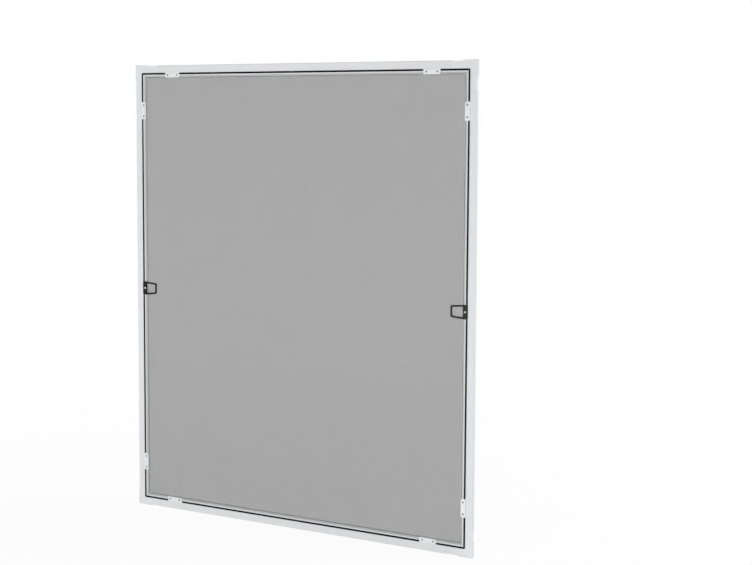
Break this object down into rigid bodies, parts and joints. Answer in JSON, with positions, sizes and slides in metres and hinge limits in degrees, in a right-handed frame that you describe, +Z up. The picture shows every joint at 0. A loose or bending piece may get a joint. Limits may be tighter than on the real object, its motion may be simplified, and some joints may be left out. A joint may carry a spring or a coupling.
{
  "type": "window screen frame",
  "caption": "White framed insect screen for a window: flanged profiles with corner blocks, a black brush seal, grey mesh held by a spline, screwed clips and black pull loops.",
  "frame": {"origin": "middle of the window opening, in the plane of the flange's seat", "axes": "X to the right and Z up across the screen, Y backwards from the seat that meets the window"},
  "size_m": [1.0024, 0.0118, 1.2024],
  "materials": {
    "powder_coat": "satin white powder coat on extruded aluminium",
    "corner_plastic": "fine matt texture, moulded white",
    "brush_pile": "short black pile on a woven backing",
    "spline_pvc": "satin light grey soft plastic",
    "mesh_yarn": "coated glass yarn, anthracite, open weave",
    "clip_lacquer": "white lacquer on stamped steel",
    "clip_screw_zinc": "dull dark zinc plate",
    "loop_plastic": "fine matt texture, moulded black",
    "loop_screw_zinc": "bright zinc plate"
  },
  "bodies": {
    "root": {"profile_top": "powder_coat", "profile_bottom": "powder_coat", "profile_left": "powder_coat", "profile_right": "powder_coat", "corner_top_left": "corner_plastic", "corner_top_right": "corner_plastic", "corner_bottom_left": "corner_plastic", "corner_bottom_right": "corner_plastic", "brush_seal_top": "brush_pile", "brush_seal_bottom": "brush_pile", "brush_seal_left": "brush_pile", "brush_seal_right": "brush_pile", "spline_top": "spline_pvc", "spline_bottom": "spline_pvc", "spline_left": "spline_pvc", "spline_right": "spline_pvc", "insect_mesh": "mesh_yarn", "clip_top_left": "clip_lacquer", "clip_top_right": "clip_lacquer", "clip_bottom_left": "clip_lacquer", "clip_bottom_right": "clip_lacquer", "clip_left_upper": "clip_lacquer", "clip_left_lower": "clip_lacquer", "clip_right_upper": "clip_lacquer", "clip_right_lower": "clip_lacquer", "clip_screws": "clip_screw_zinc", "pull_loop_left": "loop_plastic", "pull_loop_right": "loop_plastic", "pull_loop_screws": "loop_screw_zinc"}
  },
  "joints": []
}
